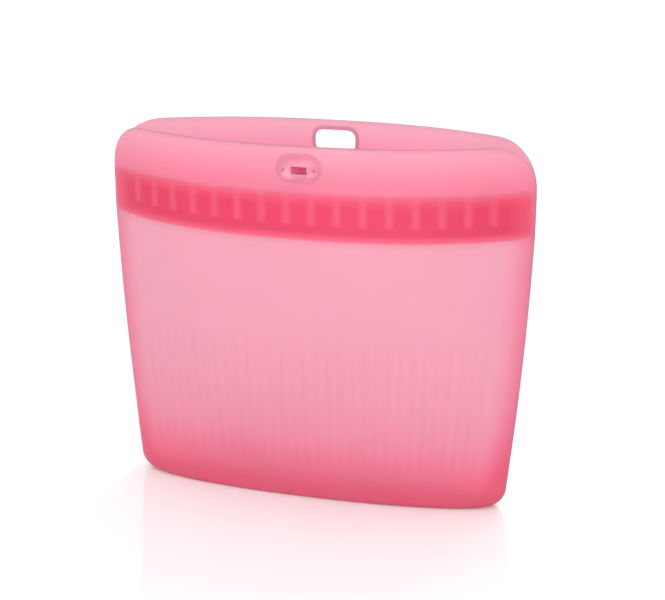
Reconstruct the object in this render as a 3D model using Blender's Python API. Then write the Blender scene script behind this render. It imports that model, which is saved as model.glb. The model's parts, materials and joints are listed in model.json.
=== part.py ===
"""A stand-up silicone storage bag whose mouth presses shut.

+Z is up, -Y is the front and the origin is under the middle of the base. Every horizontal
section is a lens: rounded at the base, and drawn to a soft edge at the two side seams higher
up. The mouth above the walls is a chain of short panels on each side, which turn and slide
from the open lens to a flat closed line.
"""

import math

import bmesh
import bpy
import numpy as np

# Driving dimensions, in metres.
HEIGHT = 0.187
MOUTH_HALF_WIDTH = 0.1075
MOUTH_HALF_DEPTH = 0.0333
MIDDLE_HALF_WIDTH = 0.1038
BASE_HALF_WIDTH = 0.0973
BASE_HALF_DEPTH = 0.0178
GAP = 0.0003

# The section's shape: half depth = depth * (1 - |x / half width| ** FULLNESS) ** SHARPNESS.
MOUTH_FULLNESS = 2.4
MOUTH_SHARPNESS = 0.92
BASE_FULLNESS = 2.15
BASE_SHARPNESS = 1 / BASE_FULLNESS
SOFT_CORNER_HEIGHT = 0.090

# The base, whose outline turns in at the two lower corners.
FOOT_CORNER = 0.0085
RIM_HEIGHT = 0.0040
RIM_WIDTH = 0.0032
RIM_ROUND = 0.0026
PANEL_THICKNESS = 0.0022

# The walls and the two side seams.
WALL = 0.0016
BAND_BOTTOM = 0.1415
WALL_REACH = 0.94

# The seal band, with its row of blocks, and the lip above it.
BAND_TOP = 0.1650
BAND_WALL = 0.0024
BAND_PROUD = 0.0006
BLOCK_BOTTOM = 0.1495
BLOCK_TOP = 0.1640
BLOCK_DEPTH = 0.0026
BLOCK_PITCH = 0.0124
BLOCK_GAP = 0.0034
BLOCK_DRAFT = 0.0005
BLOCKS_EACH_SIDE = 8
LIP = 0.0015
LIP_CORNER = 0.0205
LIP_CORNER_HEIGHT = 0.0214
MOUTH_REACH = 0.975

# The seal: a bead in front that seats in a track behind, both inside the band's lower strip.
SEAL_HEIGHT = 0.1455
BEAD_HALF_HEIGHT = 0.0010
BEAD_DEPTH = 0.0042
TRACK_HALF_HEIGHT = 0.0024
TRACK_FLANGE = 0.0009
TRACK_WEB = 0.0008
TRACK_DEPTH = 0.0027

# The locking stud on the front lip and the hanging slot in the back lip.
LOCK_HEIGHT = 0.1763
STUD_HALF = (0.0114, 0.0076)
BOSS_HALF = (0.0094, 0.0050)
DISH_HALF = (0.0088, 0.0045)
DISH_DEPTH = 0.0018
POCKET_HALF = (0.0039, 0.0023)
POCKET_ROUND = 0.0006
POCKET_DROP = 0.0016
STUD_LENGTH = 0.0142
STUD_FLOOR = 0.0018
STUD_NECK = 0.0006
SLOT_HALF = (0.0106, 0.0056)
SLOT_ROUND = 0.0042
SLOT_RIM = 0.0022
TRIM_PROUD = 0.0010
CUTTER_REACH = 0.006

# The motion: how far a panel's ends stand from the middle plane when the mouth is shut.
SHUT_HALF_DEPTH = 0.0055
PANEL_CLEARANCE = 0.0007

# How finely the round shapes are divided.
ARC_STEPS = 1500
WALL_ROWS = 13
WALL_COLUMNS = 27
LIP_ROWS = 5
LIP_COLUMNS = 9
OUTLINE_POINTS = 48
OUTLINE_CROWDING = 0.8
ROUND_STEPS = 5

FRONT = -1
BACK = 1
SIDE_NAMES = {FRONT: "front", BACK: "back"}
PANELS = {
    "left_outer": (-9, -5),
    "left_inner": (-5, -2),
    "centre": (-2, 2),
    "right_inner": (2, 5),
    "right_outer": (5, 9),
}


def blend(a, b, share):
    """a at share 0 and b at share 1, easing at both ends."""
    share = min(max(share, 0.0), 1.0)
    return a + (b - a) * share * share * (3 - 2 * share)


def half_width(z):
    """The bag's half width: a round lower corner, a parabola up to the band, then constant."""
    t = min(z / BAND_BOTTOM, 1.0)
    bend = 2 * (BASE_HALF_WIDTH - 2 * MIDDLE_HALF_WIDTH + MOUTH_HALF_WIDTH)
    slope = MOUTH_HALF_WIDTH - BASE_HALF_WIDTH - bend
    below = max(FOOT_CORNER - z, 0.0)
    turned_in = FOOT_CORNER - math.sqrt(FOOT_CORNER**2 - below**2)
    return BASE_HALF_WIDTH + slope * t + bend * t * t - turned_in


def half_depth(x, z):
    """How far the outer face stands from the middle plane at x and z."""
    t = min(z / BAND_BOTTOM, 1.0)
    depth = BASE_HALF_DEPTH + (MOUTH_HALF_DEPTH - BASE_HALF_DEPTH) * t
    fullness = blend(BASE_FULLNESS, MOUTH_FULLNESS, z / SOFT_CORNER_HEIGHT)
    sharpness = blend(BASE_SHARPNESS, MOUTH_SHARPNESS, z / SOFT_CORNER_HEIGHT)
    across = min(abs(x) / half_width(z), 1.0)
    return depth * (1 - across**fullness) ** sharpness


def skin(side, x, z, depth):
    """The point that lies depth inside the outer face of one side, measured square to it."""
    step = 0.0001
    slope = (half_depth(x + step, z) - half_depth(x - step, z)) / (2 * step)
    length = math.hypot(1.0, slope)
    return (x + depth * slope / length, side * (half_depth(x, z) - depth / length), z)


def mouth_arc():
    """Matching lists of x and of length along the mouth, from the middle outwards."""
    xs = np.linspace(0.0, MOUTH_HALF_WIDTH, ARC_STEPS + 1)
    ys = np.array([half_depth(x, BAND_BOTTOM) for x in xs])
    steps = np.hypot(np.diff(xs), np.diff(ys))
    return xs, np.concatenate([[0.0], np.cumsum(steps)])


ARC_X, ARC_LENGTH = mouth_arc()


def arc_x(length):
    """The x that lies a signed length along the mouth from the middle."""
    return math.copysign(float(np.interp(abs(length), ARC_LENGTH, ARC_X)), length)


def arc_length(x):
    """The signed length along the mouth from the middle to x."""
    return math.copysign(float(np.interp(abs(x), ARC_X, ARC_LENGTH)), x)


def panel_ends(panel):
    """The signed lengths along the mouth at which a panel of the mouth begins and ends."""
    ends = []
    for place in PANELS[panel]:
        if abs(place) > BLOCKS_EACH_SIDE:
            ends.append(math.copysign(arc_length(MOUTH_REACH * MOUTH_HALF_WIDTH), place))
        else:
            ends.append(math.copysign((abs(place) - 0.5) * BLOCK_PITCH, place))
    return ends


def shut_travel():
    """How far each middle panel slides in as the mouth shuts."""
    _, end = panel_ends("centre")
    return half_depth(arc_x(end), BAND_BOTTOM) - SHUT_HALF_DEPTH


def panel_motion(side, panel):
    """A panel's turn in radians as the mouth shuts, and the upright axis that it turns about."""
    start, end = panel_ends(panel)
    a = np.array(skin(side, arc_x(start), BAND_BOTTOM, 0.0)[:2])
    b = np.array(skin(side, arc_x(end), BAND_BOTTOM, 0.0)[:2])
    chord = float(np.linalg.norm(b - a))
    turn = -math.atan2(b[1] - a[1], b[0] - a[0])
    shut_a = np.array([(start + end) / 2 - chord / 2, side * SHUT_HALF_DEPTH])
    rotation = np.array([[math.cos(turn), -math.sin(turn)], [math.sin(turn), math.cos(turn)]])
    axis = np.linalg.solve(np.eye(2) - rotation, shut_a - rotation @ a)
    return turn, axis


def clear_scene():
    for thing in list(bpy.data.objects):
        bpy.data.objects.remove(thing)


def silicone(name, colour, roughness):
    """A plain silicone material."""
    material = bpy.data.materials.new(name)
    material.use_nodes = True
    shader = material.node_tree.nodes["Principled BSDF"]
    shader.inputs["Base Color"].default_value = (*colour, 1.0)
    shader.inputs["Roughness"].default_value = roughness
    shader.inputs["Metallic"].default_value = 0.0
    return material


def place(name, mesh, material, parent=None):
    """Makes the object of a node, on its joint's axis where it has one."""
    thing = bpy.data.objects.new(name, mesh)
    bpy.context.scene.collection.objects.link(thing)
    mesh.materials.append(material)
    if parent is not None:
        thing.parent = parent
        thing.location = -parent.location
    return thing


def finished(bm, name, smooth=40.0):
    """A mesh from bm, with its faces pointing out and its round faces smooth."""
    bmesh.ops.recalc_face_normals(bm, faces=bm.faces)
    mesh = bpy.data.meshes.new(name)
    bm.to_mesh(mesh)
    bm.free()
    mesh.shade_smooth()
    mesh.set_sharp_from_angle(angle=math.radians(smooth))
    return mesh


def shell_mesh(name, outer_points, inner_points):
    """A closed sheet between two grids of points, each a list of columns."""
    bm = bmesh.new()
    outer = [[bm.verts.new(p) for p in column] for column in outer_points]
    inner = [[bm.verts.new(p) for p in column] for column in inner_points]
    last_i = len(outer) - 1
    last_j = len(outer[0]) - 1
    for i in range(last_i):
        for j in range(last_j):
            for grid in (outer, inner):
                bm.faces.new([grid[i][j], grid[i + 1][j], grid[i + 1][j + 1], grid[i][j + 1]])
    for i in range(last_i):
        for j in (0, last_j):
            bm.faces.new([outer[i][j], outer[i + 1][j], inner[i + 1][j], inner[i][j]])
    for j in range(last_j):
        for i in (0, last_i):
            bm.faces.new([outer[i][j], outer[i][j + 1], inner[i][j + 1], inner[i][j]])
    return finished(bm, name)


def sheet_mesh(name, side, columns, rows, near, far):
    """A closed sheet that follows one side of the bag.

    rows(x) gives the heights at a column; near(i, j) and far(i, j) give how deep the sheet's
    outer and inner faces lie at a column and a row.
    """
    grids = []
    for depth in (near, far):
        grid = []
        for i, x in enumerate(columns):
            grid.append([skin(side, x, z, depth(i, j)) for j, z in enumerate(rows(x))])
        grids.append(grid)
    return shell_mesh(name, *grids)


def ring_mesh(name, loops, closed):
    """A skin over loops that all have as many points: a tube end to end, or filled at its ends."""
    bm = bmesh.new()
    rings = [[bm.verts.new(p) for p in loop] for loop in loops]
    pairs = list(zip(rings, rings[1:]))
    if closed:
        pairs.append((rings[-1], rings[0]))
    for low, high in pairs:
        for k in range(len(low)):
            after = (k + 1) % len(low)
            bm.faces.new([low[k], low[after], high[after], high[k]])
    if not closed:
        bm.faces.new(rings[0])
        bm.faces.new(rings[-1])
    return finished(bm, name)


def section_loop(z, inset):
    """The bag's outline at a height, drawn in by inset."""
    loop = []
    width = half_width(z)
    shrink = 1 - inset / half_depth(0.0, z)
    for k in range(OUTLINE_POINTS):
        angle = 2 * math.pi * k / OUTLINE_POINTS
        share = math.copysign(abs(math.cos(angle)) ** OUTLINE_CROWDING, math.cos(angle))
        depth = half_depth(share * width, z) * shrink
        loop.append((share * (width - inset), math.copysign(depth, math.sin(angle)), z))
    return loop


def rounded_loop(half, radius, y, drop=0.0):
    """A rounded rectangle at the lock's height, or drop below it, standing at depth y."""
    loop = []
    centres = ((1, 1), (-1, 1), (-1, -1), (1, -1))
    for quarter, (sx, sz) in enumerate(centres):
        for k in range(ROUND_STEPS + 1):
            angle = math.pi / 2 * (quarter + k / ROUND_STEPS)
            x = sx * (half[0] - radius) + radius * math.cos(angle)
            z = sz * (half[1] - radius) + radius * math.sin(angle)
            loop.append((x, y, LOCK_HEIGHT - drop + z))
    return loop


def make_base(material):
    """The flat panel that the bag stands on, and the rim round it that the walls rise from."""
    inset = RIM_WIDTH + GAP
    low = section_loop(0.0, inset)
    high = [(x, y, PANEL_THICKNESS) for x, y, _ in low]
    place("base_panel", ring_mesh("base_panel", [low, high], closed=False), material)
    foot = [(x, y, 0.0) for x, y, _ in section_loop(0.0, RIM_ROUND)]
    inner = [(x, y, 0.0) for x, y, _ in section_loop(0.0, RIM_WIDTH)]
    inner_top = [(x, y, RIM_HEIGHT) for x, y, _ in inner]
    loops = [inner_top, inner, foot]
    for k in (1, 2, 3):
        angle = math.pi / 2 * k / 3
        z = RIM_ROUND * (1 - math.cos(angle))
        loops.append(section_loop(z, RIM_ROUND * (1 - math.sin(angle))))
    loops.append(section_loop(RIM_HEIGHT, 0.0))
    place("base_rim", ring_mesh("base_rim", loops, closed=True), material)


def make_wall(side, material):
    """One big wall, from the rim up to the seal band."""
    name = SIDE_NAMES[side] + "_wall"
    heights = np.linspace(RIM_HEIGHT + GAP, BAND_BOTTOM - GAP, WALL_ROWS)
    shares = WALL_REACH * np.sin(np.linspace(-1, 1, WALL_COLUMNS) * math.pi / 2)
    grids = []
    for depth in (0.0, WALL):
        grid = [[skin(side, share * half_width(z), z, depth) for z in heights] for share in shares]
        grids.append(grid)
    place(name, shell_mesh(name, *grids), material)


def seam_section(end, z):
    """The outline of a side seam at a height: round the edge outside, and a corner inside."""
    width = half_width(z)
    first = WALL_REACH + GAP / width
    shares = [first + (1 - first) * math.sin(math.pi / 2 * k / 4) for k in range(5)]
    front = [(end * s * width, -half_depth(s * width, z), z) for s in shares]
    back = [(x, -y, z) for x, y, _ in reversed(front[:-1])]
    inner_back = skin(BACK, end * first * width, z, WALL)
    inner_front = skin(FRONT, end * first * width, z, WALL)
    corner = (end * (width - 2 * WALL), 0.0, z)
    if abs(corner[0]) < abs(inner_back[0]) + GAP:
        corner = (inner_back[0] + end * GAP, 0.0, z)
    return [*front, *back, inner_back, corner, inner_front]


def make_seam(end, material):
    """The edge at which the front and back walls join, from the rim up to the band."""
    name = "right_seam" if end > 0 else "left_seam"
    heights = np.linspace(RIM_HEIGHT + GAP, BAND_BOTTOM - GAP, WALL_ROWS)
    loops = [seam_section(end, z) for z in heights]
    place(name, ring_mesh(name, loops, closed=False), material)


def panel_columns(panel, reach=None):
    """Where a panel of the mouth has its columns, as signed lengths, and which lie on a block."""
    start, end = panel_ends(panel)
    low, high = start + PANEL_CLEARANCE, end - PANEL_CLEARANCE
    if reach is not None:
        low, high = max(low, -reach), min(high, reach)
    columns = [(low, False), (high, False)]
    half_block = (BLOCK_PITCH - BLOCK_GAP) / 2
    for block in range(-BLOCKS_EACH_SIDE, BLOCKS_EACH_SIDE + 1):
        middle = block * BLOCK_PITCH
        if not start < middle < end:
            continue
        for sign in (-1, 1):
            columns.append((middle + sign * half_block, False))
            columns.append((middle + sign * (half_block - BLOCK_DRAFT), True))
        columns.append((middle, True))
    return sorted(columns)


def make_band(side, panel, material, parent):
    """A panel's stretch of the seal band, with its blocks on the inside."""
    columns = panel_columns(panel)
    xs = [arc_x(length) for length, _ in columns]
    heights = [BAND_BOTTOM + GAP, BLOCK_BOTTOM - BLOCK_DRAFT, BLOCK_BOTTOM]
    heights += [BLOCK_TOP - BLOCK_DRAFT, BLOCK_TOP, BAND_TOP - GAP]

    def far(i, j):
        on_block = columns[i][1] and j in (2, 3)
        return BAND_WALL + (BLOCK_DEPTH if on_block else 0.0)

    def near(i, j):
        return -BAND_PROUD

    name = f"{SIDE_NAMES[side]}_seal_band_{panel}"
    place(name, sheet_mesh(name, side, xs, lambda x: heights, near, far), material, parent)


def lip_top(x):
    """The height of the lip's top edge, which turns down in a round corner at each end."""
    beyond = max(abs(x) - (MOUTH_HALF_WIDTH - LIP_CORNER), 0.0)
    return HEIGHT - LIP_CORNER_HEIGHT * (1 - math.sqrt(1 - (beyond / LIP_CORNER) ** 2))


def lip_lengths(panel):
    """Where a panel's lip has its columns, as signed lengths."""
    start, end = panel_ends(panel)
    return np.linspace(start + PANEL_CLEARANCE, end - PANEL_CLEARANCE, LIP_COLUMNS)


def make_lip(side, panel, material, parent):
    """A panel's stretch of the lip above the band."""
    name = f"{SIDE_NAMES[side]}_lip_{panel}"
    xs = [arc_x(length) for length in lip_lengths(panel)]

    def rows(x):
        return np.linspace(BAND_TOP + GAP, lip_top(x), LIP_ROWS)

    def near(i, j):
        return 0.0

    def far(i, j):
        return LIP

    return place(name, sheet_mesh(name, side, xs, rows, near, far), material, parent)


def make_bead(panel, material, parent):
    """A panel's stretch of the bead inside the front band."""
    reach = (BLOCKS_EACH_SIDE + 0.5) * BLOCK_PITCH
    lengths = [length for length, _ in panel_columns(panel, reach)]
    xs = [arc_x(length) for length in lengths]
    base = BAND_WALL + GAP
    heights = [SEAL_HEIGHT + k * BEAD_HALF_HEIGHT for k in (-1, -0.6, 0.6, 1)]

    def near(i, j):
        return base

    def far(i, j):
        return base + (BEAD_DEPTH if j in (1, 2) else BEAD_DEPTH / 2)

    name = f"front_seal_bead_{panel}"
    place(name, sheet_mesh(name, FRONT, xs, lambda x: heights, near, far), material, parent)


def make_track(panel, material, parent):
    """A panel's stretch of the track inside the back band, a channel that the bead enters."""
    reach = (BLOCKS_EACH_SIDE + 0.5) * BLOCK_PITCH
    lengths = [length for length, _ in panel_columns(panel, reach)]
    xs = [arc_x(length) for length in lengths]
    base = BAND_WALL + GAP
    offsets = (
        -TRACK_HALF_HEIGHT,
        -TRACK_HALF_HEIGHT + TRACK_FLANGE * 0.8,
        -TRACK_HALF_HEIGHT + TRACK_FLANGE,
        TRACK_HALF_HEIGHT - TRACK_FLANGE,
        TRACK_HALF_HEIGHT - TRACK_FLANGE * 0.8,
        TRACK_HALF_HEIGHT,
    )
    heights = [SEAL_HEIGHT + offset for offset in offsets]

    def near(i, j):
        return base

    def far(i, j):
        return base + (TRACK_WEB if j in (2, 3) else TRACK_DEPTH)

    name = f"back_seal_track_{panel}"
    place(name, sheet_mesh(name, BACK, xs, lambda x: heights, near, far), material, parent)


def cut(target, name, half, radius, y, parent):
    """Cuts a rounded hole through a lip at the lock's height."""
    loops = [rounded_loop(half, radius, y + sign * CUTTER_REACH) for sign in (-1, 1)]
    mesh = ring_mesh(name, loops, closed=False)
    cutter = bpy.data.objects.new(name, mesh)
    bpy.context.scene.collection.objects.link(cutter)
    cutter.parent = parent
    cutter.location = -parent.location
    cutter.hide_render = True
    cutter.display_type = "WIRE"
    boolean = target.modifiers.new("hole", "BOOLEAN")
    boolean.operation = "DIFFERENCE"
    boolean.solver = "EXACT"
    boolean.object = cutter


def grown(half, by):
    """Half sizes made larger, or smaller with by below 0."""
    return (half[0] + by, half[1] + by)


def make_stud(material, parent):
    """The hollow locking stud: a dished flange outside, and a boss that reaches in."""
    face = -MOUTH_HALF_DEPTH
    flange = face - GAP
    front = flange - TRIM_PROUD
    tip = face + STUD_LENGTH
    floor = tip - STUD_FLOOR
    flange_round = STUD_HALF[1] - GAP
    boss_round = BOSS_HALF[1] - 2 * GAP
    dish_round = DISH_HALF[1] - 2 * GAP
    dish = front + DISH_DEPTH
    neck = grown(BOSS_HALF, -STUD_NECK)
    loops = [
        rounded_loop(POCKET_HALF, POCKET_ROUND, floor, POCKET_DROP),
        rounded_loop(POCKET_HALF, POCKET_ROUND, dish, POCKET_DROP),
        rounded_loop(grown(DISH_HALF, -STUD_NECK), dish_round - STUD_NECK, dish),
        rounded_loop(DISH_HALF, dish_round, front),
        rounded_loop(grown(STUD_HALF, -STUD_NECK), flange_round - STUD_NECK, front),
        rounded_loop(STUD_HALF, flange_round, front + TRIM_PROUD / 2),
        rounded_loop(STUD_HALF, flange_round, flange),
        rounded_loop(BOSS_HALF, boss_round, flange),
        rounded_loop(neck, boss_round - STUD_NECK, face + STUD_LENGTH / 2),
        rounded_loop(BOSS_HALF, boss_round, tip - STUD_FLOOR),
        rounded_loop(BOSS_HALF, boss_round, tip - STUD_NECK),
        rounded_loop(neck, boss_round - STUD_NECK, tip),
    ]
    place("locking_stud", ring_mesh("locking_stud", loops, closed=False), material, parent)


def make_slot_rim(material, parent):
    """The raised rim round the hanging slot, on the outer face of the back lip."""
    outer = grown(SLOT_HALF, SLOT_RIM)
    outer_round = SLOT_ROUND + SLOT_RIM
    low = MOUTH_HALF_DEPTH + GAP
    high = low + TRIM_PROUD
    bevel = TRIM_PROUD * 0.4
    loops = [
        rounded_loop(SLOT_HALF, SLOT_ROUND, low),
        rounded_loop(outer, outer_round, low),
        rounded_loop(outer, outer_round, high - bevel),
        rounded_loop(grown(outer, -bevel), outer_round - bevel, high),
        rounded_loop(grown(SLOT_HALF, bevel), SLOT_ROUND + bevel, high),
        rounded_loop(SLOT_HALF, SLOT_ROUND, high - bevel),
    ]
    place("hang_slot_rim", ring_mesh("hang_slot_rim", loops, closed=True), material, parent)


def joint_empty(side, panel):
    """An empty on a panel's joint, which says how far the panel moves as the mouth shuts."""
    empty = bpy.data.objects.new(f"{SIDE_NAMES[side]}_{panel}_axis", None)
    bpy.context.scene.collection.objects.link(empty)
    if panel == "centre":
        empty.location = (0.0, side * MOUTH_HALF_DEPTH, BAND_BOTTOM)
        empty["shut_travel_m"] = -side * shut_travel()
    else:
        turn, axis = panel_motion(side, panel)
        empty.location = (axis[0], axis[1], BAND_BOTTOM)
        empty["shut_turn_rad"] = turn
    return empty


def make_mouth(side, materials):
    """One side of the mouth: its five panels, and the stud or the slot on the middle one."""
    for panel in PANELS:
        parent = joint_empty(side, panel)
        make_band(side, panel, materials["band"], parent)
        lip = make_lip(side, panel, materials["lip"], parent)
        if side == FRONT:
            make_bead(panel, materials["seal"], parent)
        else:
            make_track(panel, materials["seal"], parent)
        if panel != "centre":
            continue
        if side == FRONT:
            hole = grown(BOSS_HALF, GAP)
            cut(lip, "stud_hole_cutter", hole, hole[1] - 2 * GAP, -MOUTH_HALF_DEPTH, parent)
            make_stud(materials["lock"], parent)
        else:
            cut(lip, "slot_cutter", SLOT_HALF, SLOT_ROUND, MOUTH_HALF_DEPTH, parent)
            make_slot_rim(materials["lock"], parent)


def main():
    clear_scene()
    materials = {
        "wall": silicone("wall_silicone", (0.93, 0.36, 0.46), 0.42),
        "base": silicone("base_silicone", (0.83, 0.10, 0.20), 0.42),
        "band": silicone("band_silicone", (0.81, 0.06, 0.14), 0.40),
        "lip": silicone("lip_silicone", (0.94, 0.38, 0.48), 0.42),
        "seal": silicone("seal_silicone", (0.80, 0.07, 0.16), 0.38),
        "lock": silicone("lock_silicone", (0.88, 0.20, 0.32), 0.38),
    }
    make_base(materials["base"])
    for side in (FRONT, BACK):
        make_wall(side, materials["wall"])
    for end in (-1, 1):
        make_seam(end, materials["wall"])
    for side in (FRONT, BACK):
        make_mouth(side, materials)


main()
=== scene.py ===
import json
import math

import bmesh
import bpy
import numpy as np
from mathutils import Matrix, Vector


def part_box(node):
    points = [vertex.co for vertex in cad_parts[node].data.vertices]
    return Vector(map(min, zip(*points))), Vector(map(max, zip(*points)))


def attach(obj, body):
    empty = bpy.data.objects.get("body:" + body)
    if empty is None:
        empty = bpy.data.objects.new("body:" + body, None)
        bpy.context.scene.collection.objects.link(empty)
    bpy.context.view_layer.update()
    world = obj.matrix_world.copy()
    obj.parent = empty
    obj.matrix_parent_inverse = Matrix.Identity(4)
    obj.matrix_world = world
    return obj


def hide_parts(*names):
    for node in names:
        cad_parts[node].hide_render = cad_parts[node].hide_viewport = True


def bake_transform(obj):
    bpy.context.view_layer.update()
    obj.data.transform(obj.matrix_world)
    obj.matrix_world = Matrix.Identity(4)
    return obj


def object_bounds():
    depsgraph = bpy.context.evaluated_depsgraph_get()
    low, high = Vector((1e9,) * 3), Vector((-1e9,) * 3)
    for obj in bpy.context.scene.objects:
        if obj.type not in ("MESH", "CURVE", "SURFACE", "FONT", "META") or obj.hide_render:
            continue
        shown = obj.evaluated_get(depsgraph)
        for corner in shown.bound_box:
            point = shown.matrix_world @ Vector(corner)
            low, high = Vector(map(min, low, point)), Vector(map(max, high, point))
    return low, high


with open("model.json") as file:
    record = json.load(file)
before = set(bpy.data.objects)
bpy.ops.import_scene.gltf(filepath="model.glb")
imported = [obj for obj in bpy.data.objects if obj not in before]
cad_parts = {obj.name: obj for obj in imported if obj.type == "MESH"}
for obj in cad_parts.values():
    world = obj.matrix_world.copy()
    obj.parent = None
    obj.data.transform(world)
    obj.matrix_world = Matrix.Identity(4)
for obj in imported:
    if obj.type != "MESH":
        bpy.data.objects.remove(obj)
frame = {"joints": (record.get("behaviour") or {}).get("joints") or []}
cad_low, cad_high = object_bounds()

# A stand-up storage bag moulded from translucent pink silicone, with a mouth that presses shut.
# +Z is up and -Y is the front. Lengths are in metres.

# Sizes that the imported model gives.
GAP = 0.0003
HEIGHT = cad_high.z
MOUTH_HALF_WIDTH = cad_high.x
BAND_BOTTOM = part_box("front_seal_band_centre")[0].z - GAP
BAND_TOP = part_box("front_seal_band_centre")[1].z + GAP
SEAL_HEIGHT = sum(corner.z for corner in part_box("back_seal_track_centre")) / 2
LOCK_HEIGHT = sum(corner.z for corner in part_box("locking_stud")) / 2
SHUT_TRAVEL = next(j["range_m"][1] for j in frame["joints"] if j["name"] == "mouth_close")

# Sizes that the CAD source states.
MOUTH_HALF_DEPTH = 0.0333
MIDDLE_HALF_WIDTH = 0.1038
BASE_HALF_WIDTH = 0.0973
BASE_HALF_DEPTH = 0.0178
MOUTH_FULLNESS, MOUTH_SHARPNESS = 2.4, 0.92
BASE_FULLNESS = 2.15
BASE_SHARPNESS = 1 / BASE_FULLNESS
SOFT_CORNER_HEIGHT = 0.090
FOOT_CORNER = 0.0085
RIM_WIDTH = 0.0032
RIM_ROUND = 0.0026
RIM_HEIGHT = 0.0040
PANEL_THICKNESS = 0.0022
WALL = 0.0016
BAND_WALL = 0.0024
BAND_PROUD = 0.0006
BLOCK_BOTTOM, BLOCK_TOP = 0.1495, 0.1640
BLOCK_DEPTH = 0.0026
BLOCK_PITCH = 0.0124
BLOCK_GAP = 0.0034
BLOCKS_EACH_SIDE = 8
LIP = 0.0015
LIP_CORNER = 0.0205
LIP_CORNER_HEIGHT = 0.0214
STUD_HALF = (0.0114, 0.0076)
BOSS_HALF = (0.0094, 0.0050)
POCKET_HALF = (0.0039, 0.0023)
POCKET_ROUND = 0.0006
POCKET_DROP = 0.0016
STUD_LENGTH = 0.0142
SLOT_HALF = (0.0106, 0.0056)
SLOT_ROUND = 0.0042
SHUT_HALF_DEPTH = 0.0055

# Sizes of what only this script shows, or shows otherwise than the CAD source does.
SLOT_RIM = 0.0019
STUD_PROUD = 0.0006
RIM_PROUD = 0.0004
SEAM_PROUD_SHARE, SEAM_FADE = 0.25, 0.012
BLOCK_SIDE_SOFTNESS, BLOCK_ROW_SOFTNESS = 0.0022, 0.0024
RIB_PITCH = BLOCK_PITCH / 2
RIB_BOTTOM, RIB_TOP = 0.0195, 0.0900
RIB_HEIGHT = 0.00020
RIB_REACH = 0.098
FOOT_THICKENING = 0.0014
FOOT_REACH = 0.0060
SOLID_END = 0.1130
DISH_HALF = (0.0090, 0.0052)
DISH_DEPTH = 0.0009
PIT_OFFSET = 0.0077
PIT_RADIUS = 0.0008
PIT_DROP = 0.0010
BEAD_HALF_HEIGHT, BEAD_DEPTH = 0.0010, 0.0042
TRACK_HALF_HEIGHT, TRACK_DEPTH = 0.0024, 0.0027
TRACK_WEB, TRACK_FLANGE = 0.0008, 0.0009
FACE_CLEARANCE = 0.00003
PIECE_CLEARANCE = 0.00005
HOLE_CLEARANCE = 0.0001

# How deep the silicone looks, and over what distances it changes, in metres. These are chosen, and
# follow the real thickness only loosely.
LIP_LOOK = 0.0017
# The lip's gain in depth towards the band is painted shade.
LIP_SHADE_GAIN, LIP_SHADE_START, LIP_SHADE_REACH = 0.0006, 0.022, 0.021
ROW_LOOK = 0.0025
ROW_LOOK_BOTTOM, ROW_LOOK_FOOT = 0.1440, 0.0085
ROW_LOOK_TOP, ROW_LOOK_HEAD = 0.1612, 0.0080
GAP_LOOK_SOFTNESS = 0.0034
SEAM_LOOK, SEAM_LOOK_REACH = 0.0008, 0.014
FOOT_LOOK, FOOT_LOOK_HEIGHT, FOOT_LOOK_FALL = 0.0018, 0.027, 1.3
RIB_LOOK, RIB_MEAN = 0.00016, 0.4
STRIP_LOOK = 0.0038
# The extra depth in the stud's pocket and pits is painted shade in these hollows.
STUD_LOOK, DISH_LOOK, POCKET_SHADE_LOOK, PIT_SHADE_LOOK = 0.0023, -0.0004, 0.0005, 0.0004
SEAL_LOOK, RIM_LOOK, BASE_LOOK = 0.0007, 0.0005, 0.0014
# Painted edge shade: the lip's top, the side seams and the slot's inner edge are made greyer,
# standing in for the light these edges bend away.
LIP_EDGE_SHADE_REACH, SEAM_EDGE_SHADE_REACH = 0.0012, 0.0009
SEAM_EDGE_SHADE, RIM_EDGE_SHADE = 0.7, 0.35

# The silicone's colour where it looks so many millimetres deep.
SILICONE_COLOURS = (
    (0.0, (1.0, 0.95, 0.97)),
    (1.2, (0.975, 0.61, 0.70)),
    (1.6, (0.975, 0.540, 0.655)),
    (2.0, (0.975, 0.46, 0.595)),
    (2.5, (0.99, 0.32, 0.485)),
    (3.0, (0.99, 0.20, 0.345)),
    (4.0, (0.97, 0.158, 0.290)),
    (5.6, (0.935, 0.104, 0.228)),
    (7.0, (0.89, 0.046, 0.160)),
)
DEEPEST_LOOK = SILICONE_COLOURS[-1][0]
# The colour of the painted edge shade, and the most of it that is mixed in.
EDGE_SHADE_COLOUR, EDGE_SHADE_SHARE = (0.42, 0.28, 0.33, 1.0), 0.55
FLOOR_TONE = 0.86

# How finely the shells are divided.
COLUMNS_PER_BLOCK = 24
SEAM_SHARES = (0.004, 0.0025, 0.0015, 0.0008, 0.0004, 0.0002, 0.0)
ROUND_STEPS = 8

FRONT, BACK = -1, 1
SIDE_NAMES = {FRONT: "front", BACK: "back"}
PANELS = ("left_outer", "left_inner", "centre", "right_inner", "right_outer")


# ---------------------------------------------------------------- the bag's outer face

def ease(share):
    """0 at share 0 and below, 1 at share 1 and above, and smooth between them."""
    share = np.clip(share, 0.0, 1.0)
    return share * share * (3 - 2 * share)


def half_width(z):
    t = np.minimum(z / BAND_BOTTOM, 1.0)
    bend = 2 * (BASE_HALF_WIDTH - 2 * MIDDLE_HALF_WIDTH + MOUTH_HALF_WIDTH)
    slope = MOUTH_HALF_WIDTH - BASE_HALF_WIDTH - bend
    below = np.maximum(FOOT_CORNER - z, 0.0)
    turned_in = FOOT_CORNER - np.sqrt(FOOT_CORNER**2 - below**2)
    return BASE_HALF_WIDTH + slope * t + bend * t * t - turned_in


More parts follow.
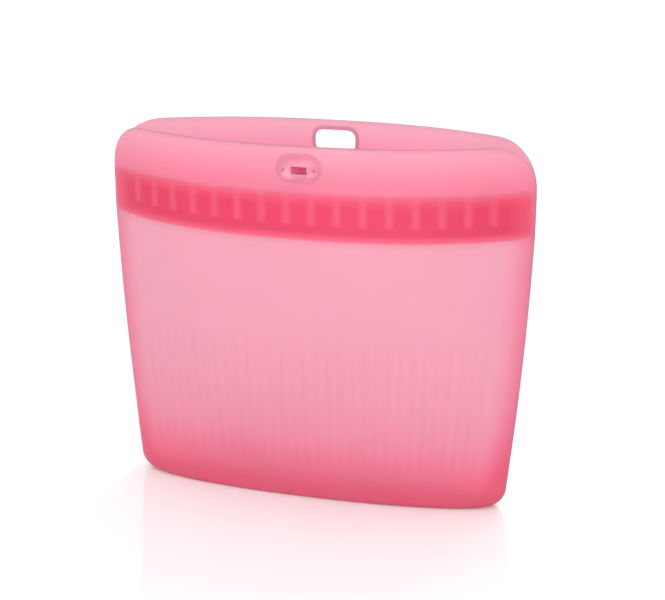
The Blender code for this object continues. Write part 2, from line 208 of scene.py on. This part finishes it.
def half_depth(x, z):
    """How far the outer face stands from the middle plane."""
    t = np.minimum(z / BAND_BOTTOM, 1.0)
    depth = BASE_HALF_DEPTH + (MOUTH_HALF_DEPTH - BASE_HALF_DEPTH) * t
    soft = ease(z / SOFT_CORNER_HEIGHT)
    fullness = BASE_FULLNESS + (MOUTH_FULLNESS - BASE_FULLNESS) * soft
    sharpness = BASE_SHARPNESS + (MOUTH_SHARPNESS - BASE_SHARPNESS) * soft
    across = np.minimum(np.abs(x) / half_width(z), 1.0)
    return depth * (1 - across**fullness) ** sharpness


def skin(x, z, depth):
    """x and y, as if on the back, of the points that lie depth inside the outer face."""
    step = 0.0001
    slope = (half_depth(x + step, z) - half_depth(x - step, z)) / (2 * step)
    length = np.hypot(1.0, slope)
    return x + depth * slope / length, half_depth(x, z) - depth / length


def inset_outline(share, z, inset):
    """x and y, as if on the back, of the outline at height z drawn in by inset."""
    shrink = 1 - inset / half_depth(0.0, z)
    width = half_width(z)
    return share * (width - inset), half_depth(share * width, z) * shrink


def mouth_arc():
    """Matching lists of x and of length along the mouth, from the middle outwards."""
    xs = np.linspace(0.0, MOUTH_HALF_WIDTH, 3001)
    ys = half_depth(xs, BAND_BOTTOM)
    return xs, np.concatenate([[0.0], np.cumsum(np.hypot(np.diff(xs), np.diff(ys)))])


ARC_X, ARC_LENGTH = mouth_arc()


def arc_length(x):
    return np.sign(x) * np.interp(np.abs(x), ARC_X, ARC_LENGTH)


def arc_x(length):
    return np.sign(length) * np.interp(np.abs(length), ARC_LENGTH, ARC_X)


def lip_top(x):
    beyond = np.maximum(np.abs(x) - (MOUTH_HALF_WIDTH - LIP_CORNER), 0.0)
    drop = 1 - np.sqrt(np.maximum(1 - (beyond / LIP_CORNER) ** 2, 0.0))
    return HEIGHT - LIP_CORNER_HEIGHT * drop


# ---------------------------------------------------------------- how thick each place is

def block_rise(length, softness):
    """1 on a block of the band and 0 between blocks, at a length along the mouth."""
    index = np.clip(np.round(length / BLOCK_PITCH), -BLOCKS_EACH_SIDE, BLOCKS_EACH_SIDE)
    off_centre = np.abs(length - index * BLOCK_PITCH)
    past_last = np.abs(length) > BLOCKS_EACH_SIDE * BLOCK_PITCH
    off_centre = np.where(past_last, 0.0, off_centre)
    half_block = (BLOCK_PITCH - BLOCK_GAP) / 2
    block = 1 - ease((off_centre - half_block) / softness + 0.5)
    return block * ease((SOLID_END - np.abs(length)) / 0.003)


def row_rise(z, softness):
    """1 at the heights of the row of blocks and 0 off it."""
    return ease((z - BLOCK_BOTTOM) / softness + 0.5) * ease((BLOCK_TOP - z) / softness + 0.5)


def rib_rise(length, z):
    """1 on the crest of a rib and 0 between ribs."""
    crest = (0.5 + 0.5 * np.cos(2 * math.pi * length / RIB_PITCH)) ** 1.5
    ends = ease((z - RIB_BOTTOM) / 0.002) * ease((RIB_TOP - z) / 0.002)
    sides = ease((RIB_REACH - np.abs(length)) / 0.003)
    return crest * ends * sides


def band_rise(z):
    """1 on the seal band and 0 off it: a crisp step below and a soft one above."""
    return ease((z - BAND_BOTTOM) / 0.0007) * ease((BAND_TOP - z) / 0.0030)


def outer_depth(length, z):
    """How far inside the plain outer face the moulded outer face lies."""
    rise = ease((ARC_LENGTH[-1] - np.abs(length)) / SEAM_FADE)
    from_seam = SEAM_PROUD_SHARE + (1 - SEAM_PROUD_SHARE) * rise
    return -BAND_PROUD * band_rise(z) * from_seam - RIB_HEIGHT * rib_rise(length, z)


def inner_depth(length, z):
    """How far inside the plain outer face the moulded inner face lies."""
    plain = WALL + (LIP - WALL) * ease((z - BAND_BOTTOM) / (BAND_TOP - BAND_BOTTOM))
    band = (BAND_WALL - plain) * ease((z - BAND_BOTTOM) / 0.0016) * ease((BAND_TOP - z) / 0.0025)
    blocks = BLOCK_DEPTH * block_rise(length, BLOCK_SIDE_SOFTNESS) * row_rise(z, BLOCK_ROW_SOFTNESS)
    foot = FOOT_THICKENING * (1 - ease((z - RIM_HEIGHT) / FOOT_REACH))
    return plain + band + blocks + foot


def lip_colour_depth(z):
    """The lip is painted deeper towards the band: painted shade cast by the seal bands."""
    return LIP_LOOK + LIP_SHADE_GAIN * ease((BAND_TOP + LIP_SHADE_START - z) / LIP_SHADE_REACH)


def band_colour_depth(length, z):
    """What the row of blocks adds to the band: soft above and below, and parted by paler gaps."""
    foot = ease((z - ROW_LOOK_BOTTOM) / ROW_LOOK_FOOT + 0.5)
    head = ease((ROW_LOOK_TOP - z) / ROW_LOOK_HEAD + 0.5)
    between = 1 - block_rise(length, GAP_LOOK_SOFTNESS)
    gaps = between * ease((z - BLOCK_BOTTOM) / BLOCK_ROW_SOFTNESS + 0.5)
    return ROW_LOOK * (foot * head) * (1 - gaps)


def colour_depth(x, z):
    """How deep the silicone looks at a point of a shell, with the steps softened as light does."""
    length = arc_length(x * MOUTH_HALF_WIDTH / half_width(z))
    to_seam = half_width(z) - np.abs(x)
    near_seam = SEAM_LOOK * (1 - ease(to_seam / SEAM_LOOK_REACH))
    near_foot = FOOT_LOOK * np.exp(-((z / FOOT_LOOK_HEIGHT) ** FOOT_LOOK_FALL))
    wall = WALL + near_seam + near_foot + RIB_LOOK * (rib_rise(length, z) - RIB_MEAN)
    strip = wall + (STRIP_LOOK - wall) * ease((to_seam + 0.001) / 0.007)
    low = wall + (strip - wall) * ease((z - BAND_BOTTOM + 0.0006) / 0.0046)
    # The lip, with painted shade towards the band.
    plain = low + (lip_colour_depth(z) - low) * ease((z - BAND_TOP + 0.0060) / 0.0075)
    return plain + band_colour_depth(length, z) * ease((to_seam - 0.001) / 0.012)


def painted_edge_shade(x, z):
    """1 where painted edge shade makes a cut or folded edge of the silicone greyer, and 0
    elsewhere.
    """
    at_lip = 1 - ease((lip_top(x) - z) / LIP_EDGE_SHADE_REACH)
    at_seam = SEAM_EDGE_SHADE * (1 - ease((half_width(z) - np.abs(x)) / SEAM_EDGE_SHADE_REACH))
    return np.maximum(np.where(z > BAND_TOP, at_lip, 0.0), at_seam)


# ---------------------------------------------------------------- meshes

def mesh_object(name, points, faces, smooth=35.0):
    """A closed object, with its faces pointing out and its round faces smooth."""
    mesh = bpy.data.meshes.new(name)
    mesh.from_pydata(np.asarray(points).tolist(), [], faces)
    bm = bmesh.new()
    bm.from_mesh(mesh)
    bmesh.ops.remove_doubles(bm, verts=bm.verts, dist=1e-7)
    bmesh.ops.recalc_face_normals(bm, faces=bm.faces)
    bm.to_mesh(mesh)
    bm.free()
    mesh.shade_smooth()
    mesh.set_sharp_from_angle(angle=math.radians(smooth))
    thing = bpy.data.objects.new(name, mesh)
    bpy.context.scene.collection.objects.link(thing)
    return thing


def tube_faces(columns, around, closed_ends=True):
    """The faces of a tube whose sections of so many points follow one another."""
    faces = []
    for i in range(columns - 1):
        low, high = i * around, (i + 1) * around
        for j in range(around):
            after = (j + 1) % around
            faces.append((low + j, low + after, high + after, high + j))
    if closed_ends:
        faces.append(tuple(range(around)))
        last = (columns - 1) * around
        faces.append(tuple(range(last, last + around)))
    return faces


def strip_ends(around):
    """Faces across a section whose two halves mirror each other, point for point."""
    half = around // 2
    return [(j, j + 1, around - 2 - j, around - 1 - j) for j in range(half - 1)]


def shares_across():
    """Where the columns stand, as shares of the half width."""
    step = BLOCK_PITCH / COLUMNS_PER_BLOCK
    count = int(ARC_LENGTH[-1] / step) - 1
    middle = arc_x(np.arange(-count, count + 1) * step) / MOUTH_HALF_WIDTH
    middle = middle[np.abs(middle) < 1 - 1.2 * SEAM_SHARES[0]]
    right = 1 - np.array(SEAM_SHARES)
    return np.concatenate([-right[::-1], middle, right])


def row_heights():
    """The heights of the rows above the rim, closer together where the section changes."""
    stretches = (
        (RIM_HEIGHT, 0.012, 0.0010),
        (0.012, RIB_BOTTOM, 0.0035),
        (RIB_BOTTOM, RIB_BOTTOM + 0.002, 0.0005),
        (RIB_BOTTOM + 0.002, RIB_TOP - 0.002, 0.0045),
        (RIB_TOP - 0.002, RIB_TOP, 0.0005),
        (RIB_TOP, BAND_BOTTOM, 0.0035),
        (BAND_BOTTOM, BAND_BOTTOM + 0.0016, 0.00018),
        (BAND_BOTTOM + 0.0016, BLOCK_BOTTOM - 0.0012, 0.0011),
        (BLOCK_BOTTOM - 0.0012, BLOCK_BOTTOM + 0.0014, 0.0003),
        (BLOCK_BOTTOM + 0.0014, BLOCK_TOP - 0.0022, 0.0014),
        (BLOCK_TOP - 0.0022, BAND_TOP, 0.0003),
    )
    rows = []
    for low, high, step in stretches:
        rows.extend(np.linspace(low, high, max(int(round((high - low) / step)), 1), endpoint=False))
    return np.array(rows)


def wall_point(share, z, depth, side):
    """A point of a wall, depth inside its outer face, eased into the inset outline of the foot."""
    width = half_width(z)
    x, y = skin(share * width, z, depth)
    foot_x, foot_y = inset_outline(share, z, depth)
    up = ease((z - RIM_HEIGHT) / 0.020)
    x = foot_x + (x - foot_x) * up
    y = np.maximum(foot_y + (y - foot_y) * up, FACE_CLEARANCE)
    return np.stack([x, side * y, np.broadcast_to(z, x.shape)], axis=-1)


def side_shell(side):
    """One moulded side of the bag: half the foot, the wall, the seal band and the lip."""
    shares = shares_across()
    lengths = arc_length(shares * MOUTH_HALF_WIDTH)
    xs = shares * MOUTH_HALF_WIDTH
    outer, inner = [], []

    def add(z, depth_out, depth_in):
        outer.append(wall_point(shares, z, depth_out, side))
        inner.append(wall_point(shares, z, depth_in, side))

    for k in range(ROUND_STEPS + 1):
        angle = math.pi / 2 * k / ROUND_STEPS
        z = RIM_ROUND * (1 - math.cos(angle)) + 0 * shares
        low = RIM_ROUND * (1 - math.sin(angle))
        rise = PANEL_THICKNESS + (RIM_HEIGHT - PANEL_THICKNESS) * k / ROUND_STEPS * 0.8
        outer.append(wall_point(shares, z, low, side))
        reach = RIM_WIDTH + (WALL + FOOT_THICKENING - RIM_WIDTH) * (k / ROUND_STEPS) ** 2
        inset = reach + 0.0006 * (1 - k / ROUND_STEPS)
        inner.append(wall_point(shares, rise + 0 * shares, inset, side))
    for z in row_heights():
        zs = z + 0 * shares
        add(zs, outer_depth(lengths, zs), inner_depth(lengths, zs))
    top = lip_top(xs)
    radius = LIP / 2
    for share in np.linspace(0.0, 1.0, 14)[:-1]:
        zs = BAND_TOP + (top - radius - BAND_TOP) * share
        add(zs, 0 * zs, LIP + 0 * zs)
    for k in range(ROUND_STEPS + 1):
        angle = math.pi / 2 * k / ROUND_STEPS
        zs = top - radius + radius * math.sin(angle)
        in_by = radius * (1 - math.cos(angle))
        add(zs, in_by + 0 * zs, LIP - in_by + 0 * zs)
    section = np.array(outer + inner[::-1])
    around, columns = section.shape[:2]
    points = section.transpose(1, 0, 2).reshape(-1, 3)
    faces = tube_faces(columns, around, closed_ends=False)
    ends = strip_ends(around)
    faces += ends
    last = (columns - 1) * around
    faces += [tuple(last + k for k in face) for face in ends]
    return mesh_object(f"{SIDE_NAMES[side]}_shell", points, faces)


def rounded_loop(half, radius, y, drop=0.0, steps=10):
    """A rounded rectangle at the lock's height, or drop below it, standing at depth y."""
    loop = []
    for quarter, (sx, sz) in enumerate(((1, 1), (-1, 1), (-1, -1), (1, -1))):
        for k in range(steps + 1):
            angle = math.pi / 2 * (quarter + k / steps)
            x = sx * (half[0] - radius) + radius * math.cos(angle)
            z = sz * (half[1] - radius) + radius * math.sin(angle)
            loop.append((x, y, LOCK_HEIGHT - drop + z))
    return loop


def grown(half, by):
    return (half[0] + by, half[1] + by)


def ring_object(name, loops, closed):
    """A skin over loops that all have as many points: a tube, or filled at its two ends."""
    around = len(loops[0])
    points = [p for loop in loops for p in loop]
    faces = tube_faces(len(loops), around, closed_ends=not closed)
    if closed:
        last = (len(loops) - 1) * around
        faces += [(last + j, last + (j + 1) % around, (j + 1) % around, j) for j in range(around)]
    return mesh_object(name, points, faces)


def cut_hole(target, half, radius, y):
    """Cuts a rounded hole through a lip at the lock's height."""
    loops = [rounded_loop(half, radius, y + d) for d in (-0.006, 0.006)]
    cut_with(target, ring_object("hole_cutter", loops, closed=False))


def cut_with(target, cutter):
    """Takes one object's volume out of another's."""
    boolean = target.modifiers.new("cut", "BOOLEAN")
    boolean.operation = "DIFFERENCE"
    boolean.solver = "EXACT"
    boolean.object = cutter
    apply_modifiers(target)
    bpy.data.objects.remove(cutter)


def apply_modifiers(thing):
    """Replaces an object's mesh with the result of its modifiers."""
    graph = bpy.context.evaluated_depsgraph_get()
    mesh = bpy.data.meshes.new_from_object(thing.evaluated_get(graph))
    thing.modifiers.clear()
    thing.data = mesh
    mesh.shade_smooth()
    mesh.set_sharp_from_angle(angle=math.radians(35.0))


# ---------------------------------------------------------------- motion

def mouth_share(x):
    """How much of the middle panel's travel a place along the mouth takes as it shuts."""
    rest = half_depth(x, BAND_BOTTOM)
    return np.clip((rest - SHUT_HALF_DEPTH) / SHUT_TRAVEL, 0.0, 1.0)


def vertices_of(thing):
    points = np.empty(len(thing.data.vertices) * 3)
    thing.data.vertices.foreach_get("co", points)
    return points.reshape(-1, 3)


def bend_with_mouth(thing, pressed=False):
    """Bakes the piece's placement into its mesh and works out how far each point would follow the
    mouth, none at the foot and the seams; nothing moves the mesh.

    For a pressed piece these shares stop where it would meet the other side at the middle plane.
    """
    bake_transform(thing)
    points = vertices_of(thing)
    x, z = points[:, 0], points[:, 2]
    at_mouth = mouth_share(x * MOUTH_HALF_WIDTH / half_width(z))
    shares = at_mouth * ease(z / BAND_BOTTOM)
    if pressed:
        room = np.maximum(np.abs(points[:, 1]) - FACE_CLEARANCE, 0.0)
        shares = np.minimum(shares, room / SHUT_TRAVEL)


def note(thing, name, values):
    attribute = thing.data.attributes.new(name, "FLOAT", "POINT")
    attribute.data.foreach_set("value", values.astype(np.float32))


def note_depth(thing, values, edge_shade=None):
    """Stores how deep the silicone looks, in millimetres, and how much painted edge shade, for the
    materials.
    """
    note(thing, "colour_depth", 1000 * values)
    note(thing, "painted_edge_shade", 0 * values if edge_shade is None else edge_shade)


# ---------------------------------------------------------------- materials

def noise(tree, place, seed, scale, detail):
    """A solid noise that stays with the object."""
    texture = tree.nodes.new("ShaderNodeTexNoise")
    texture.noise_dimensions = "4D"
    texture.inputs["W"].default_value = seed
    texture.inputs["Scale"].default_value = scale
    texture.inputs["Detail"].default_value = detail
    tree.links.new(place.outputs["Object"], texture.inputs["Vector"])
    return texture.outputs["Fac"]


def spread(tree, value, low, high):
    """A value from 0 to 1, spread from low to high."""
    node = tree.nodes.new("ShaderNodeMapRange")
    node.inputs["To Min"].default_value = low
    node.inputs["To Max"].default_value = high
    tree.links.new(value, node.inputs["Value"])
    return node.outputs["Result"]


def stored(tree, name):
    """A value stored at each point of the mesh."""
    node = tree.nodes.new("ShaderNodeAttribute")
    node.attribute_name = name
    return node.outputs["Fac"]


def depth_colour(tree):
    """The silicone's colour for how deep it looks."""
    scale = tree.nodes.new("ShaderNodeMapRange")
    scale.inputs["From Max"].default_value = DEEPEST_LOOK
    tree.links.new(stored(tree, "colour_depth"), scale.inputs["Value"])
    ramp = tree.nodes.new("ShaderNodeValToRGB")
    elements = ramp.color_ramp.elements
    while len(elements) < len(SILICONE_COLOURS):
        elements.new(0.5)
    for element, (at, colour) in zip(elements, SILICONE_COLOURS):
        element.position = at / DEEPEST_LOOK
        element.color = (*colour, 1.0)
    tree.links.new(scale.outputs["Result"], ramp.inputs["Fac"])
    return ramp.outputs["Color"]


def colour_mix(tree, blend):
    """A node that mixes two colours, and its sockets for both and for the result."""
    node = tree.nodes.new("ShaderNodeMix")
    node.data_type = "RGBA"
    node.blend_type = blend
    return node, node.inputs[6], node.inputs[7], node.outputs[2]


def edge_shade_amount(tree):
    """How far a point is mixed towards the painted edge shade's colour."""
    node = tree.nodes.new("ShaderNodeMath")
    node.operation = "MULTIPLY"
    node.inputs[1].default_value = EDGE_SHADE_SHARE
    tree.links.new(stored(tree, "painted_edge_shade"), node.inputs[0])
    return node.outputs["Value"]


def silicone(name, seed):
    """Frosted pink silicone, deeper in colour where it is thicker, and greyer where painted edge
    shade is stored.
    """
    material = bpy.data.materials.new(name)
    material.use_nodes = True
    tree = material.node_tree
    shader = tree.nodes["Principled BSDF"]
    shader.inputs["Transmission Weight"].default_value = 0.65
    shader.inputs["IOR"].default_value = 1.41
    shader.inputs["Specular IOR Level"].default_value = 0.35

    place = tree.nodes.new("ShaderNodeTexCoord")
    cloud = noise(tree, place, seed, 28.0, 4.0)
    clouded, plain, shade, colour = colour_mix(tree, "MULTIPLY")
    clouded.inputs["Factor"].default_value = 1.0
    tree.links.new(depth_colour(tree), plain)
    tree.links.new(spread(tree, cloud, 0.97, 1.03), shade)
    # Painted edge shade: mixes the colour towards a greyer tone where the mesh stores it.
    edge_shaded, pink, edge_shade_colour, result = colour_mix(tree, "MIX")
    edge_shade_colour.default_value = EDGE_SHADE_COLOUR
    tree.links.new(edge_shade_amount(tree), edge_shaded.inputs["Factor"])
    tree.links.new(colour, pink)
    tree.links.new(result, shader.inputs["Base Color"])
    tree.links.new(spread(tree, cloud, 0.40, 0.52), shader.inputs["Roughness"])

    bump = tree.nodes.new("ShaderNodeBump")
    bump.inputs["Strength"].default_value = 0.12
    bump.inputs["Distance"].default_value = 0.0002
    tree.links.new(noise(tree, place, seed + 3.0, 1800.0, 3.0), bump.inputs["Height"])
    tree.links.new(bump.outputs["Normal"], shader.inputs["Normal"])
    return material


def floor_material():
    """Plain pale glossy card."""
    material = bpy.data.materials.new("floor")
    material.use_nodes = True
    shader = material.node_tree.nodes["Principled BSDF"]
    shader.inputs["Base Color"].default_value = (FLOOR_TONE, FLOOR_TONE, FLOOR_TONE, 1.0)
    shader.inputs["Roughness"].default_value = 0.08
    shader.inputs["IOR"].default_value = 1.50
    return material


# ---------------------------------------------------------------- pieces

def make_side(side, material):
    shell = side_shell(side)
    if side == FRONT:
        cut_hole(shell, grown(BOSS_HALF, HOLE_CLEARANCE), BOSS_HALF[1] - 2 * GAP, -MOUTH_HALF_DEPTH)
    else:
        cut_hole(shell, SLOT_HALF, SLOT_ROUND, MOUTH_HALF_DEPTH)
    shell.data.materials.clear()
    shell.data.materials.append(material)
    points = vertices_of(shell)
    x, z = points[:, 0], points[:, 2]
    # The second value is painted edge shade at the lip's top and the seams.
    note_depth(shell, colour_depth(x, z), painted_edge_shade(x, z))
    bend_with_mouth(shell, pressed=True)
    name = SIDE_NAMES[side]
    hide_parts(f"{name}_wall")
    for panel in PANELS:
        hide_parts(f"{name}_lip_{panel}", f"{name}_seal_band_{panel}")
    if side == FRONT:
        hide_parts("left_seam", "right_seam", "base_rim")


def seal_strip(side, name, heights, depths, material):
    """A strip along the inside of the band, with its section given by heights and depths."""
    reach = (BLOCKS_EACH_SIDE + 0.5) * BLOCK_PITCH
    lengths = np.linspace(-reach, reach, 260)
    xs = arc_x(lengths)
    base = BAND_WALL + PIECE_CLEARANCE
    section = []
    for z, depth in zip(heights, depths):
        x, y = skin(xs, BAND_BOTTOM + 0 * xs, base + depth + 0 * xs)
        section.append(np.stack([x, side * np.maximum(y, FACE_CLEARANCE), z + 0 * x], axis=-1))
    section = np.array(section)
    around, columns = section.shape[:2]
    points = section.transpose(1, 0, 2).reshape(-1, 3)
    strip = mesh_object(name, points, tube_faces(columns, around))
    strip.data.materials.append(material)
    note_depth(strip, np.full(len(strip.data.vertices), SEAL_LOOK))
    bend_with_mouth(strip)
    for panel in PANELS:
        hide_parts(f"{name}_{panel}")


def make_bead(material):
    """The bead inside the front band, with a round crown."""
    angles = np.linspace(0, math.pi, 9)
    heights = [SEAL_HEIGHT - BEAD_HALF_HEIGHT]
    depths = [0.0]
    stem = BEAD_DEPTH - BEAD_HALF_HEIGHT
    for angle in angles:
        heights.append(SEAL_HEIGHT - BEAD_HALF_HEIGHT * math.cos(angle))
        depths.append(stem + BEAD_HALF_HEIGHT * math.sin(angle))
    heights.append(SEAL_HEIGHT + BEAD_HALF_HEIGHT)
    depths.append(0.0)
    seal_strip(FRONT, "front_seal_bead", heights, depths, material)


def make_track(material):
    """The track inside the back band, a channel between two rounded flanges."""
    half, flange = TRACK_HALF_HEIGHT, TRACK_FLANGE
    profile = (
        (-half, 0.0), (-half, TRACK_DEPTH - 0.0003), (-half + 0.0003, TRACK_DEPTH),
        (-half + flange - 0.0003, TRACK_DEPTH), (-half + flange, TRACK_DEPTH - 0.0003),
        (-half + flange, TRACK_WEB), (half - flange, TRACK_WEB),
        (half - flange, TRACK_DEPTH - 0.0003), (half - flange + 0.0003, TRACK_DEPTH),
        (half - 0.0003, TRACK_DEPTH), (half, TRACK_DEPTH - 0.0003), (half, 0.0),
    )
    heights = [SEAL_HEIGHT + offset for offset, _ in profile]
    depths = [depth for _, depth in profile]
    seal_strip(BACK, "back_seal_track", heights, depths, material)


def pit_cutters(face):
    """Balls that cut two small round pits beside the stud's pocket."""
    cutters = []
    for sign in (-1, 1):
        bm = bmesh.new()
        bmesh.ops.create_uvsphere(bm, u_segments=24, v_segments=14, radius=PIT_RADIUS)
        mesh = bpy.data.meshes.new("pit_cutter")
        bm.to_mesh(mesh)
        bm.free()
        cutter = bpy.data.objects.new("pit_cutter", mesh)
        bpy.context.scene.collection.objects.link(cutter)
        cutter.location = (sign * PIT_OFFSET, face, LOCK_HEIGHT - PIT_DROP)
        cutters.append(cutter)
    return cutters


def stud_depth(points, front, dish):
    """How deep the silicone looks on the stud: paler in its dish, and deeper in its pocket and pits
    as painted shade in these hollows.
    """
    x, y, z = points[:, 0], points[:, 1], points[:, 2] - LOCK_HEIGHT
    in_dish = ease((y - front) / 0.0006)
    sideways = np.abs(x) - POCKET_HALF[0]
    upright = np.abs(z + POCKET_DROP) - POCKET_HALF[1]
    in_pocket = (np.maximum(sideways, upright) < 0.0001) & (y > dish + 0.0001)
    from_pit = np.sqrt((np.abs(x) - PIT_OFFSET) ** 2 + (y - dish) ** 2 + (z + PIT_DROP) ** 2)
    in_pit = from_pit < PIT_RADIUS + 0.0001
    # The pocket and pits get painted shade.
    return STUD_LOOK + DISH_LOOK * in_dish + POCKET_SHADE_LOOK * in_pocket + PIT_SHADE_LOOK * in_pit


def make_stud(material):
    """The locking stud: a rounded flange, a shallow dish with a pocket, and a boss inside."""
    face = -MOUTH_HALF_DEPTH
    front = face - STUD_PROUD
    dish = front + DISH_DEPTH
    tip = face + STUD_LENGTH
    soft = 0.0006
    flange_round = STUD_HALF[1] - GAP
    boss_round = BOSS_HALF[1] - 2 * GAP
    dish_round = DISH_HALF[1] - GAP
    loops = [
        rounded_loop(grown(POCKET_HALF, -soft), 0.0004, tip - 0.0018, POCKET_DROP),
        rounded_loop(POCKET_HALF, POCKET_ROUND, tip - 0.0026, POCKET_DROP),
        rounded_loop(POCKET_HALF, POCKET_ROUND, dish + 0.0002, POCKET_DROP),
        rounded_loop(grown(POCKET_HALF, 0.0002), POCKET_ROUND, dish, POCKET_DROP),
    ]
    steps = 12
    for k in range(1, steps + 1):
        by = -0.0026 + 0.0028 * k / steps
        loops.append(rounded_loop(grown(DISH_HALF, by), dish_round + by,
                                  dish - DISH_DEPTH * float(ease(k / steps))))
    for k in range(steps + 1):
        by = -0.0019 * (1 - k / steps)
        loops.append(rounded_loop(grown(STUD_HALF, by), flange_round + by,
                                  front + (STUD_PROUD + 0.0001) * float(ease(k / steps))))
    loops += [
        rounded_loop(STUD_HALF, flange_round, face + 0.0003),
        rounded_loop(BOSS_HALF, boss_round, face + 0.0003),
        rounded_loop(grown(BOSS_HALF, -soft), boss_round - soft, face + STUD_LENGTH / 2),
        rounded_loop(BOSS_HALF, boss_round, tip - 0.0024),
    ]
    for k in range(6):
        angle = math.pi / 2 * k / 5
        by = -0.0012 * (1 - math.cos(angle))
        loops.append(rounded_loop(grown(BOSS_HALF, by), boss_round + by,
                                  tip - 0.0012 * (1 - math.sin(angle))))
    stud = ring_object("stud_shell", loops, closed=False)
    for cutter in pit_cutters(dish):
        cut_with(stud, cutter)
    stud.data.materials.clear()
    stud.data.materials.append(material)
    points = vertices_of(stud)
    note_depth(stud, stud_depth(points, front, dish))
    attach(stud, "front_mouth_centre")
    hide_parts("locking_stud")


def make_slot_rim(material):
    """The soft rounded rim round the hanging slot, deepest in colour at its inner edge, where
    painted edge shade also makes it greyer.
    """
    steps = 16
    low = MOUTH_HALF_DEPTH - 0.0003
    high = MOUTH_HALF_DEPTH + RIM_PROUD
    loops = [rounded_loop(SLOT_HALF, SLOT_ROUND, low)]
    depths, edge_shade = [], []
    for k in range(steps + 1):
        share = k / steps
        by = SLOT_RIM * share
        rise = ease(share / 0.25) * (1 - ease((share - 0.25) / 0.75))
        out = low + PIECE_CLEARANCE + (high - low) * rise
        loops.append(rounded_loop(grown(SLOT_HALF, by), SLOT_ROUND + by, out))
        depths.append(RIM_LOOK * (1 - ease(share)))
        # Painted edge shade, strongest at the slot's inner edge.
        edge_shade.append(RIM_EDGE_SHADE * (1 - ease(share / 0.4)))
    rim = ring_object("slot_rim_shell", loops, closed=True)
    rim.data.materials.append(material)
    points = vertices_of(rim)
    across = np.maximum(np.abs(points[:, 0]) - (SLOT_HALF[0] - SLOT_ROUND), 0.0)
    upright = np.maximum(np.abs(points[:, 2] - LOCK_HEIGHT) - (SLOT_HALF[1] - SLOT_ROUND), 0.0)
    outwards = np.clip((np.hypot(across, upright) - SLOT_ROUND) / SLOT_RIM, 0.0, 1.0)
    shares = np.linspace(0.0, 1.0, steps + 1)
    note_depth(rim, np.interp(outwards, shares, depths), np.interp(outwards, shares, edge_shade))
    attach(rim, "back_mouth_centre")
    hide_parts("hang_slot_rim")


def make_base_panel(material):
    """The oval panel inside the rim, with a shallow dish beneath and a bead near its edge."""
    shares = np.concatenate([shares_across()[::4], [1.0]])
    shares = np.unique(np.round(shares, 6))
    ring = np.concatenate([shares, shares[-2:0:-1]])
    side = np.concatenate([np.full(len(shares), -1.0), np.full(len(shares) - 2, 1.0)])
    insets = (RIM_WIDTH + PIECE_CLEARANCE, 0.0042, 0.0050, 0.0058, 0.0066, 0.0090, 0.0130, 0.0160)

    def loop(inset, z):
        x, y = inset_outline(ring, 0.0 * ring, inset)
        return list(zip(x, side * y, z + 0 * ring))

    loops = []
    for inset in reversed(insets):
        lift = 0.0007 * ease((inset - 0.0050) / 0.0030)
        loops.append(loop(inset, float(lift)))
    for inset in insets:
        bead = 0.0005 * float(np.exp(-(((inset - 0.0052) / 0.0008) ** 2)))
        loops.append(loop(inset, PANEL_THICKNESS + bead))
    panel = ring_object("base_shell", loops, closed=False)
    panel.data.materials.append(material)
    note_depth(panel, np.full(len(panel.data.vertices), BASE_LOOK))
    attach(panel, "root")
    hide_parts("base_panel")


# ---------------------------------------------------------------- stage

def area_light(name, place, target, size, power):
    light = bpy.data.lights.new(name, "AREA")
    light.shape = "DISK"
    light.size = size
    light.energy = power
    lamp = bpy.data.objects.new(name, light)
    bpy.context.scene.collection.objects.link(lamp)
    lamp.location = place
    lamp.rotation_euler = (Vector(target) - Vector(place)).to_track_quat("-Z", "Y").to_euler()
    lamp.visible_camera = False


def make_stage():
    mesh = bpy.data.meshes.new("floor")
    half = 4.0
    mesh.from_pydata([(-half, -half, 0), (half, -half, 0), (half, half, 0), (-half, half, 0)],
                     [], [(0, 1, 2, 3)])
    mesh.materials.append(floor_material())
    floor = bpy.data.objects.new("floor", mesh)
    floor.location.z = -0.0002
    bpy.context.scene.collection.objects.link(floor)

    world = bpy.data.worlds.new("studio")
    bpy.context.scene.world = world
    world.use_nodes = True
    background = world.node_tree.nodes["Background"]
    background.inputs["Color"].default_value = (1.0, 1.0, 1.0, 1.0)
    background.inputs["Strength"].default_value = 1.1
    middle = (0.0, 0.0, HEIGHT / 2)
    area_light("key", (-0.9, -1.1, 1.1), middle, 0.9, 4.5)
    area_light("fill", (1.0, -0.8, 0.8), middle, 0.9, 2.5)
    area_light("back", (0.2, 1.3, 0.9), middle, 1.0, 4.5)
    area_light("low_front", (0.1, -0.7, 0.06), (0.0, 0.0, 0.01), 0.6, 1.8)


def make_camera():
    """A longish lens in front, to the right and a little above."""
    azimuth, elevation, distance = math.radians(15.46), math.radians(17.99), 0.75
    target = Vector((0.0074, 0.0, 0.1020))
    away = Vector((math.sin(azimuth) * math.cos(elevation),
                   -math.cos(azimuth) * math.cos(elevation), math.sin(elevation)))
    data = bpy.data.cameras.new("camera")
    data.lens = 80.9
    data.sensor_width = 36.0
    data.clip_start = 0.01
    camera = bpy.data.objects.new("camera", data)
    bpy.context.scene.collection.objects.link(camera)
    camera.location = target + distance * away
    camera.rotation_euler = (-away).to_track_quat("-Z", "Y").to_euler()
    bpy.context.scene.camera = camera
    bpy.context.scene.view_settings.view_transform = "Standard"


def main():
    shell_silicone = silicone("shell_silicone", 0.0)
    seal_silicone = silicone("seal_silicone", 5.0)
    lock_silicone = silicone("lock_silicone", 9.0)
    base_silicone = silicone("base_silicone", 14.0)
    make_stage()
    make_camera()
    for side in (FRONT, BACK):
        make_side(side, shell_silicone)
    make_bead(seal_silicone)
    make_track(seal_silicone)
    make_stud(lock_silicone)
    make_slot_rim(lock_silicone)
    make_base_panel(base_silicone)


main()
